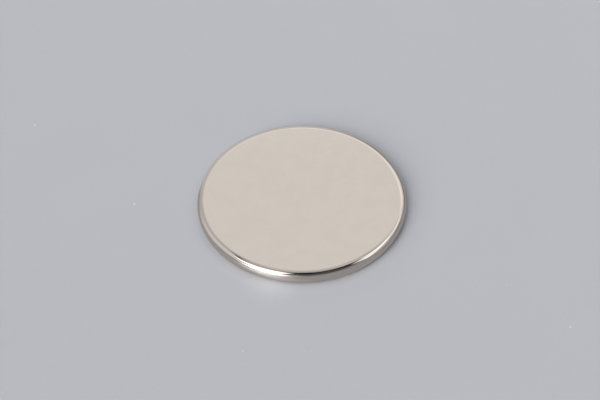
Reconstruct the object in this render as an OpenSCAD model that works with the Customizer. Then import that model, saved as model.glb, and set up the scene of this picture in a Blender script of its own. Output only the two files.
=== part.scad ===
// Disc magnet: one pressed and sintered disc with a thin bright plating, magnetised through its thickness.
// Tumbling before plating rolls each face off towards its edge and rounds the side out into a shallow barrel.
// The two roundings meet in a blunt shoulder that runs round each face.
// The disc lies flat on z = 0, with its axis on Z.

/* [Disc] */
// Diameter over the rim wall
disc_d = 15; // [8:0.1:60]
// Thickness from face to face
disc_t = 1; // [0.98:0.02:6]

/* [Rolled edge] */
// Radius that each face rolls off by, from the flat out to the shoulder
face_r = 0.7; // [0.2:0.01:0.76]
// Radius of the rounded side, from the shoulder down to the rim wall
side_r = 0.56; // [0.2:0.01:0.58]

/* [Hidden] */
$fn = 180;

disc_r = disc_d / 2;

// At the shoulder the face leans by the smaller angle of a 3-4-5 triangle and the side by the larger one,
// so the arcs' ends lie 3/5 and 4/5 of their radii from their centres, and all sizes stay short decimals.
// Width of the roll-off, from the flat face out to the rim wall
roll_w = face_r * 3 / 5 + side_r * (1 - 4 / 5);
// Drop of the roll-off, from the face down to the rim wall
roll_h = face_r * (1 - 4 / 5) + side_r * 3 / 5;
// Each face is flat out to this radius
flat_r = disc_r - roll_w;
// Radius of the shoulder
shoulder_r = flat_r + face_r * 3 / 5;

// Section of one roll-off, below a face at y = 0
module roll_section() {
    // Arc of the face, out to the shoulder
    intersection() {
        translate([flat_r, -face_r]) circle(face_r);
        translate([flat_r, -roll_h]) square([shoulder_r - flat_r, roll_h]);
    }
    // Arc of the side, from the shoulder to the rim wall
    intersection() {
        translate([disc_r - side_r, -roll_h]) circle(side_r);
        translate([shoulder_r, -roll_h]) square([disc_r - shoulder_r, roll_h]);
    }
}

// Half section of the disc, from the axis out to the rim wall
module disc_section() {
    square([flat_r, disc_t]);
    translate([0, roll_h]) square([disc_r, disc_t - 2 * roll_h]);
    translate([0, disc_t]) roll_section();
    mirror([0, 1]) roll_section();
}

module magnet_disc() {
    color([0.80, 0.77, 0.73]) rotate_extrude() disc_section();
}

magnet_disc();
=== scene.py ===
"""Looks of the disc magnet: a thin nickel-plated disc, lying on a plain pale floor in soft studio light."""
import math
import random

import bpy
from mathutils import Euler, Matrix, Vector, noise


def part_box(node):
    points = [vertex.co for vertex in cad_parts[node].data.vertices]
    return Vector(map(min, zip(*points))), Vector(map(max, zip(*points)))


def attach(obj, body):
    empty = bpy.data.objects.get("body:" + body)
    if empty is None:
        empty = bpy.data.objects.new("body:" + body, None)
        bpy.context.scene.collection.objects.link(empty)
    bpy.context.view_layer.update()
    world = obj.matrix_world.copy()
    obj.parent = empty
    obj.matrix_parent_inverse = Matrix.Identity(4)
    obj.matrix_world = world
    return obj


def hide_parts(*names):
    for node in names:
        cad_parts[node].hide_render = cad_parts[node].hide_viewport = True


MM = 0.001

# Rounded edge, the same two arcs as in the part's source, with their shoulder polished down a little
FACE_R = 0.7 * MM
SIDE_R = 0.56 * MM
SHOULDER_R = 0.025 * MM

# Lathe mesh of the disc
TURN_STEPS = 1200
FACE_STEPS = 12
SHOULDER_STEPS = 5
SIDE_STEPS = 12
FACE_RINGS = (0.25, 0.5, 0.75, 0.9, 0.97, 0.998)  # shares of the flat face's radius

# Small faults of the tumbled and plated edge, all of them inwards
WAVE_DEPTH = 0.004 * MM
WAVE_LENGTH = 1.6 * MM
NICK_COUNT = 34
NICK_DEPTH = (0.001 * MM, 0.004 * MM)
NICK_SIZE = (0.05 * MM, 0.12 * MM)
NICK_LEAN = (0.25, 1.3)  # how far the surface leans where a nick may be, in radians
NICK_SEED = 11

# A cloud's effect on a surface fades in between these two of its values
CLOUD_SPAN = (0.3, 0.7)
MOTTLE_SPAN = (0.35, 0.65)

# Plating. Scales are in features per millimetre.
FACE_TONES = ((0.645, 0.575, 0.498, 1), (0.655, 0.585, 0.508, 1))
SIDE_TONE = (0.57, 0.52, 0.465, 1)
SIDE_FADE = (0.2 * MM, 0.1 * MM)  # how far inside the rim the side's tone begins, and where it is full
MOTTLE_SCALE = 0.8
HAZE_SCALE = 0.5
HAZE_ROUGHNESS = (0.045, 0.07)
PEEL_SCALE = 2.2
PEEL_DEPTH = 0.002 * MM
MARK_DEPTH = 0.001 * MM
RELIEF_STRENGTH = 0.5

# Hairline scratches, drawn where a stretched cloud is high: direction in radians, stretch along it and
# across it, and the cloud's value at which they begin
HAIRLINES = ((0.5, 6, 0.05, 0.68), (2.2, 4, 0.04, 0.69))
HAIRLINE_FADE = 0.08
HAIRLINE_ROUGHNESS = 0.05

# Tiny pits, one in each cell of a scatter
PIT_SCALE = 1.4
PIT_EDGE = (0.05, 0.02)  # in cells, from a pit's rim to its floor
PIT_TONE = (0.42, 0.38, 0.33, 1)
PIT_SHARE = 0.25
PIT_ROUGHNESS = 0.1

# Card of the floor, with its specks of dust and its painted light
CARD_TONES = ((0.405, 0.405, 0.415, 1), (0.41, 0.41, 0.42, 1))
CARD_ROUGHNESS = 0.35
PATCH_SCALE = 0.15
TOOTH_SCALE = 6
TOOTH_DEPTH = 0.004 * MM
TOOTH_STRENGTH = 0.4
DUST_SCALE = 0.5
DUST_EDGE = (0.06, 0.02)  # in cells, from a speck's rim to its middle
DUST_CHANCE = (0.93, 0.96)  # a cell holds a speck only where its random number is above this
DUST_SHARE = 0.35
# pale tone of the dust specks, also used for the painted light on the card in front of the rim
DUST_AND_PAINTED_LIGHT_TONE = (0.87, 0.87, 0.87, 1)  # of dust, and of the card where light is thrown on it

# Camera
LENS_MM = 100
SENSOR_MM = 36
CAMERA_ELEVATION = math.radians(46.8)
CAMERA_ROLL = math.radians(-1)
CAMERA_DISTANCE = 7.97  # in diameters
AIM_SIDE = -0.008  # in diameters
AIM_HEIGHT = 0.63  # in thicknesses

# Studio. Directions are azimuths from +X towards +Y and elevations, all in degrees, and the camera
# stands at azimuth 270. A brightness of 1 all round shows a colour as it is written.
FLOOR_SIZE = 1.2
LIGHT_TINT = (0.97, 0.985, 1.03)

# Softboxes, walls and ceiling of the studio, as soft-edged fields that add up:
# azimuth, half width, softness of the sides, lowest and highest elevation, their softness, brightness
FIELDS = (
    (0, 180, 0, -90, 10, 5, 0.5),  # all round, close to the floor
    (80, 45, 50, 22, 65, 30, 0.97),  # pale wall behind
    (185, 50, 45, 14, 62, 5, 0.9),  # wall on the left
    (100, 80, 5, 65, 85, 5, 0.5),  # ceiling behind
    (105, 25, 20, -90, 25, 10, 0.45),  # low behind the disc
    (45, 50, 30, 32, 43, 5, 0.3),  # pale strip behind, on the right
    (20, 50, 30, 15, 32, 5, 0.25),  # dim wall on the right
    (10, 22, 5, 47, 65, 5, 1.4),  # panel on the right
    (205, 34, 20, 58, 82, 5, 2),  # panel high on the left
    (230, 12, 40, 12, 30, 5, 10),  # softbox on the left, its lower half
    (240, 14, 45, 28, 54, 10, 10),  # softbox on the left, its upper half
    (245, 10, 30, -90, 10, 5, 1),  # under the softbox
    (310, 90, 10, 35, 50, 15, 0.7),  # room in front
    (300, 50, 10, 12, 22, 10, 0.45),  # low in front
    (290, 60, 20, 50, 80, 10, 0.1),  # dark room behind the camera
)

# Painted light on the card in front of the disc, for the light that the rim throws there: its reach, its
# span (first and last azimuth and the softness of both, in degrees from -180 to 180) and its strength, as a
# share of the pale tone that the dust also has
HALO_REACH = 1.3 * MM
HALO_SPAN = (-145, -35, 40)
HALO_SHARE = 0.1
GLOW_REACH = 2.3 * MM
GLOW_SPAN = (-115, -99, 22)
GLOW_SHARE = 0.21


# ---------------------------------------------------------------- frame

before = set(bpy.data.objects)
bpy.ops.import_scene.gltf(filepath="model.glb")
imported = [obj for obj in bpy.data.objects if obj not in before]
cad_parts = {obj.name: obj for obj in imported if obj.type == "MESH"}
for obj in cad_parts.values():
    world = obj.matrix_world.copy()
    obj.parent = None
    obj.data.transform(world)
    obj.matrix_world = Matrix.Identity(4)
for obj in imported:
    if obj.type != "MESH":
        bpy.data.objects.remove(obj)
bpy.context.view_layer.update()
disc_low, disc_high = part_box("magnet_disc")
disc_r = min(disc_high.x, disc_high.y, -disc_low.x, -disc_low.y)
disc_d = 2 * disc_r
disc_t = disc_high.z - disc_low.z
scene = bpy.context.scene


# ---------------------------------------------------------------- camera

def aim_camera():
    """Puts the camera at the front, looking down at the disc's middle."""
    data = bpy.data.cameras.new("camera")
    data.lens = LENS_MM
    data.sensor_width = SENSOR_MM
    data.clip_start = 0.01
    data.clip_end = 10
    camera = bpy.data.objects.new("camera", data)
    scene.collection.objects.link(camera)
    tilt = Euler((math.pi / 2 - CAMERA_ELEVATION, 0, 0)).to_matrix()
    turn = tilt @ Matrix.Rotation(CAMERA_ROLL, 3, "Z")
    aim = Vector((AIM_SIDE * disc_d, 0, disc_low.z + AIM_HEIGHT * disc_t))
    place = aim + turn @ Vector((0, 0, CAMERA_DISTANCE * disc_d))
    camera.matrix_world = Matrix.Translation(place) @ turn.to_4x4()
    scene.camera = camera


# ---------------------------------------------------------------- disc

def arc(centre, radius, start, end, steps):
    """Radius, height and lean of points on one arc of the section."""
    points = []
    for i in range(steps):
        lean = start + (end - start) * i / steps
        r = centre.x + radius * math.sin(lean)
        z = centre.y + radius * math.cos(lean)
        points.append((r, z, lean))
    return points


def rounded_edge():
    """The section's points from the end of the top flat face down to the rim wall.

    As in the part's source, at the shoulder the face leans by the smaller angle of a 3-4-5 triangle and
    the side by the larger one. A small third arc, which touches both, takes the shoulder's edge off.
    """
    roll_w = FACE_R * 3 / 5 + SIDE_R * (1 - 4 / 5)
    roll_h = FACE_R * (1 - 4 / 5) + SIDE_R * 3 / 5
    face = Vector((disc_r - roll_w, disc_t - FACE_R))
    side = Vector((disc_r - SIDE_R, disc_t - roll_h))
    to_face = FACE_R - SHOULDER_R
    to_side = SIDE_R - SHOULDER_R
    apart = side - face
    along = (apart.length_squared + to_face ** 2 - to_side ** 2) / (2 * apart.length)
    aside = math.sqrt(to_face ** 2 - along ** 2)
    apart.normalize()
    shoulder = face + apart * along + Vector((apart.y, -apart.x)) * aside
    first = math.atan2(shoulder.x - face.x, shoulder.y - face.y)
    last = math.atan2(shoulder.x - side.x, shoulder.y - side.y)
    points = arc(face, FACE_R, 0, first, FACE_STEPS)
    points += arc(shoulder, SHOULDER_R, first, last, SHOULDER_STEPS)
    points += arc(side, SIDE_R, last, math.pi / 2, SIDE_STEPS)
    return points + [(disc_r, side.y, math.pi / 2)]


def disc_profile():
    """Radius, height and lean of every ring, from near the centre of the top face to the bottom face."""
    roll = rounded_edge()
    flat_r = roll[0][0]
    top = [(flat_r * share, disc_t, 0) for share in FACE_RINGS] + roll
    return top + [(r, disc_t - z, math.pi - lean) for r, z, lean in reversed(top)]


def around(r, turn, z):
    """The point at radius r and height z, turned about the disc's axis."""
    return Vector((r * math.cos(turn), r * math.sin(turn), z))


def nicks(rings):
    """Place on the ideal surface, size and depth of the small nicks. Every third one is low down."""
    draw = random.Random(NICK_SEED)
    found = []
    for i in range(NICK_COUNT):
        turn = draw.uniform(0, 2 * math.pi)
        lean = draw.uniform(*NICK_LEAN)
        if i % 3 == 2:
            lean = math.pi - lean
        r, z, _ = min(rings, key=lambda ring: abs(ring[2] - lean))
        found.append((around(r, turn, z), draw.uniform(*NICK_SIZE), draw.uniform(*NICK_DEPTH)))
    return found


def sink(point, lean, marks):
    """How far a point of the rolled edge lies inside the ideal surface."""
    edge = math.sin(lean)
    wave = 0.5 + noise.noise(point / WAVE_LENGTH)
    depth = WAVE_DEPTH * edge * max(0, min(1, wave))
    for place, size, deep in marks:
        near = (point - place).length / size
        if near < 1:
            depth += deep * (1 - near * near) ** 2
    return depth


def lathe_points(rings, marks):
    """Corners of the lathe mesh: the top face's centre, ring after ring, and the bottom face's centre."""
    points = [Vector((0, 0, disc_t))]
    for r, z, lean in rings:
        for k in range(TURN_STEPS):
            turn = 2 * math.pi * k / TURN_STEPS
            point = around(r, turn, z)
            if 0 < lean < math.pi:
                outwards = around(math.sin(lean), turn, math.cos(lean))
                point -= outwards * sink(point, lean, marks)
            points.append(point)
    return points + [Vector((0, 0, 0))]


def lathe_faces(ring_count):
    """A fan round each centre, and a band of four-sided faces between neighbouring rings."""
    faces = []
    last = 1 + (ring_count - 1) * TURN_STEPS
    for k in range(TURN_STEPS):
        after = (k + 1) % TURN_STEPS
        faces.append((0, 1 + k, 1 + after))
        for a in range(1, last, TURN_STEPS):
            b = a + TURN_STEPS
            faces.append((a + k, b + k, b + after, a + after))
        faces.append((last + after, last + k, last + TURN_STEPS))
    return faces


def build_disc():
    """The plated disc as one closed lathe mesh."""
    rings = disc_profile()
    marks = nicks([ring for ring in rings if 0 < ring[2] < math.pi])
    lift = Vector((0, 0, disc_low.z))
    mesh = bpy.data.meshes.new("nickel_disc")
    mesh.from_pydata([point + lift for point in lathe_points(rings, marks)], [], lathe_faces(len(rings)))
    mesh.polygons.foreach_set("use_smooth", [True] * len(mesh.polygons))
    mesh.validate()
    disc = bpy.data.objects.new("nickel_disc", mesh)
    scene.collection.objects.link(disc)
    mesh.materials.append(nickel_material())
    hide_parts("magnet_disc")
    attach(disc, "root")


# ---------------------------------------------------------------- node helpers

def new_material(name):
    material = bpy.data.materials.new(name)
    material.use_nodes = True
    return material, material.node_tree


def feed(tree, socket, value):
    """Links a socket to an output, or sets it to a number."""
    if isinstance(value, bpy.types.NodeSocket):
        tree.links.new(value, socket)
    else:
        socket.default_value = value


def calc(tree, operation, *values):
    node = tree.nodes.new("ShaderNodeMath")
    node.operation = operation
    for socket, value in zip(node.inputs, values):
        feed(tree, socket, value)
    return node.outputs[0]


def ramp(tree, value, start, end, low=0.0, high=1.0):
    """Goes smoothly from low at start to high at end."""
    node = tree.nodes.new("ShaderNodeMapRange")
    node.interpolation_type = "SMOOTHSTEP"
    feed(tree, node.inputs["Value"], value)
    node.inputs["From Min"].default_value = start
    node.inputs["From Max"].default_value = end
    node.inputs["To Min"].default_value = low
    node.inputs["To Max"].default_value = high
    return node.outputs[0]


def millimetres(tree, turn=0.0, stretch=(1, 1, 1)):
    """Object coordinates in millimetres, turned about Z and stretched."""
    place = tree.nodes.new("ShaderNodeTexCoord")
    mapping = tree.nodes.new("ShaderNodeMapping")
    mapping.vector_type = "TEXTURE"
    mapping.inputs["Rotation"].default_value = (0, 0, turn)
    mapping.inputs["Scale"].default_value = [MM * s for s in stretch]
    tree.links.new(place.outputs["Object"], mapping.inputs["Vector"])
    return mapping.outputs[0]


def cloud(tree, where, scale, detail):
    """Noise from 0 to 1."""
    node = tree.nodes.new("ShaderNodeTexNoise")
    node.inputs["Scale"].default_value = scale
    node.inputs["Detail"].default_value = detail
    tree.links.new(where, node.inputs["Vector"])
    return node.outputs["Fac"]


def cells(tree, where, scale):
    """Distance to the nearest of many scattered points, and a random number that each point has."""
    node = tree.nodes.new("ShaderNodeTexVoronoi")
    node.inputs["Scale"].default_value = scale
    tree.links.new(where, node.inputs["Vector"])
    split = tree.nodes.new("ShaderNodeSeparateColor")
    tree.links.new(node.outputs["Color"], split.inputs[0])
    return node.outputs["Distance"], split.outputs["Red"]


def blend_colours(tree, amount, first, second):
    node = tree.nodes.new("ShaderNodeMix")
    node.data_type = "RGBA"
    feed(tree, node.inputs[0], amount)
    feed(tree, node.inputs[6], first)
    feed(tree, node.inputs[7], second)
    return node.outputs[2]


def bump(tree, height, distance, strength, below=None):
    node = tree.nodes.new("ShaderNodeBump")
    node.inputs["Distance"].default_value = distance
    node.inputs["Strength"].default_value = strength
    tree.links.new(height, node.inputs["Height"])
    if below is not None:
        tree.links.new(below, node.inputs["Normal"])
    return node.outputs[0]


def window(tree, value, low, high, softness):
    """1 between low and high, 0 outside them, with soft edges. Only value is in radians, not degrees."""
    half = softness / 2
    above = ramp(tree, value, math.radians(low - half), math.radians(low + half))
    below = ramp(tree, value, math.radians(high + half), math.radians(high - half))
    return calc(tree, "MULTIPLY", above, below)


def polar(tree, where):
    """Distance from the Z axis, and azimuth in radians from -pi to pi."""
    split = tree.nodes.new("ShaderNodeSeparateXYZ")
    tree.links.new(where, split.inputs[0])
    x = split.outputs["X"]
    y = split.outputs["Y"]
    radius = calc(tree, "SQRT", calc(tree, "MULTIPLY_ADD", x, x, calc(tree, "MULTIPLY", y, y)))
    return radius, calc(tree, "ARCTAN2", y, x)


# ---------------------------------------------------------------- materials

def hairlines(tree):
    """Mask of the hairline scratches."""
    mask = 0.0
    for turn, along, across, start in HAIRLINES:
        streaks = cloud(tree, millimetres(tree, turn, (along, across, 1)), 1, 1)
        mask = calc(tree, "MAXIMUM", mask, ramp(tree, streaks, start, start + HAIRLINE_FADE))
    return mask


def nickel_material():
    """Bright nickel plating: faintly mottled, with hairlines, tiny pits and a slightly darker side."""
    material, tree = new_material("nickel_plating")
    shader = tree.nodes["Principled BSDF"]
    shader.inputs["Metallic"].default_value = 1
    where = millimetres(tree)
    scratches = hairlines(tree)
    distance, _ = cells(tree, where, PIT_SCALE)
    pit = ramp(tree, distance, *PIT_EDGE)

    mottle = ramp(tree, cloud(tree, where, MOTTLE_SCALE, 4), *MOTTLE_SPAN)
    radius, _ = polar(tree, where)
    side = ramp(tree, radius, *[(disc_r - inside) / MM for inside in SIDE_FADE])
    tone = blend_colours(tree, side, blend_colours(tree, mottle, *FACE_TONES), SIDE_TONE)
    tone = blend_colours(tree, calc(tree, "MULTIPLY", pit, PIT_SHARE), tone, PIT_TONE)
    tree.links.new(tone, shader.inputs["Base Color"])

    rough = ramp(tree, cloud(tree, where, HAZE_SCALE, 3), *CLOUD_SPAN, *HAZE_ROUGHNESS)
    rough = calc(tree, "MULTIPLY_ADD", scratches, HAIRLINE_ROUGHNESS, rough)
    rough = calc(tree, "MULTIPLY_ADD", pit, PIT_ROUGHNESS, rough)
    tree.links.new(rough, shader.inputs["Roughness"])

    peel = bump(tree, cloud(tree, where, PEEL_SCALE, 3), PEEL_DEPTH, RELIEF_STRENGTH)
    marks = calc(tree, "SUBTRACT", 1.0, calc(tree, "MAXIMUM", scratches, pit))
    relief = bump(tree, marks, MARK_DEPTH, RELIEF_STRENGTH, peel)
    tree.links.new(relief, shader.inputs["Normal"])
    return material


def painted_thrown_light(tree, where):
    """How much painted light, standing for the light that the bright rim throws on the floor in front of
    it, falls at a point.
    """
    radius, azimuth = polar(tree, where)
    edge = disc_r / MM
    halo = ramp(tree, radius, edge + HALO_REACH / MM, edge, 0, HALO_SHARE)
    glow = ramp(tree, radius, edge + GLOW_REACH / MM, edge, 0, GLOW_SHARE)
    halo = calc(tree, "MULTIPLY", halo, window(tree, azimuth, *HALO_SPAN))
    glow = calc(tree, "MULTIPLY", glow, window(tree, azimuth, *GLOW_SPAN))
    return calc(tree, "ADD", halo, glow)


def dust(tree, where):
    """Mask of the few specks of dust."""
    distance, chance = cells(tree, where, DUST_SCALE)
    rare = ramp(tree, chance, *DUST_CHANCE, 0, DUST_SHARE)
    return calc(tree, "MULTIPLY", ramp(tree, distance, *DUST_EDGE), rare)


def floor_material():
    """Plain pale card, with a very faint cloudiness, a fine tooth, a few specks of dust and painted light
    in front of the disc.
    """
    material, tree = new_material("floor_card")
    shader = tree.nodes["Principled BSDF"]
    shader.inputs["Roughness"].default_value = CARD_ROUGHNESS
    where = millimetres(tree)
    patch = ramp(tree, cloud(tree, where, PATCH_SCALE, 3), *CLOUD_SPAN)
    tone = blend_colours(tree, patch, *CARD_TONES)
    # painted light: the card is paled in front of the rim and under its highlight, where the rim throws
    # light
    tone = blend_colours(tree, painted_thrown_light(tree, where), tone, DUST_AND_PAINTED_LIGHT_TONE)
    tone = blend_colours(tree, dust(tree, where), tone, DUST_AND_PAINTED_LIGHT_TONE)
    tree.links.new(tone, shader.inputs["Base Color"])
    tooth = bump(tree, cloud(tree, where, TOOTH_SCALE, 3), TOOTH_DEPTH, TOOTH_STRENGTH)
    tree.links.new(tooth, shader.inputs["Normal"])
    return material


# ---------------------------------------------------------------- studio

def lay_floor():
    mesh = bpy.data.meshes.new("floor")
    half = FLOOR_SIZE / 2
    corners = [(-half, -half), (half, -half), (half, half), (-half, half)]
    mesh.from_pydata([(x, y, disc_low.z) for x, y in corners], [], [(0, 1, 2, 3)])
    floor = bpy.data.objects.new("floor", mesh)
    scene.collection.objects.link(floor)
    mesh.materials.append(floor_material())


def field(tree, azimuth, elevation, centre, half_width, side_softness, low, high, softness):
    """1 inside a soft-edged part of the sky, 0 outside it."""
    inside = window(tree, elevation, low, high, softness)
    if half_width == 180:
        return inside
    aside = calc(tree, "SUBTRACT", azimuth, math.radians(centre))
    aside = calc(tree, "WRAP", aside, math.pi, -math.pi)
    across = window(tree, aside, -half_width, half_width, side_softness)
    return calc(tree, "MULTIPLY", inside, across)


def set_world():
    """The room round the table: pale walls behind and at the sides, a dim room behind the camera."""
    world = bpy.data.worlds.new("room")
    world.use_nodes = True
    tree = world.node_tree
    split = tree.nodes.new("ShaderNodeSeparateXYZ")
    tree.links.new(tree.nodes.new("ShaderNodeTexCoord").outputs["Generated"], split.inputs[0])
    azimuth = calc(tree, "ARCTAN2", split.outputs["Y"], split.outputs["X"])
    elevation = calc(tree, "ARCSINE", split.outputs["Z"])
    total = 0.0
    for *place, brightness in FIELDS:
        total = calc(tree, "MULTIPLY_ADD", field(tree, azimuth, elevation, *place), brightness, total)
    background = tree.nodes["Background"]
    background.inputs["Color"].default_value = (*LIGHT_TINT, 1)
    tree.links.new(total, background.inputs["Strength"])
    scene.world = world


aim_camera()
build_disc()
lay_floor()
set_world()

scene.view_settings.view_transform = "Standard"
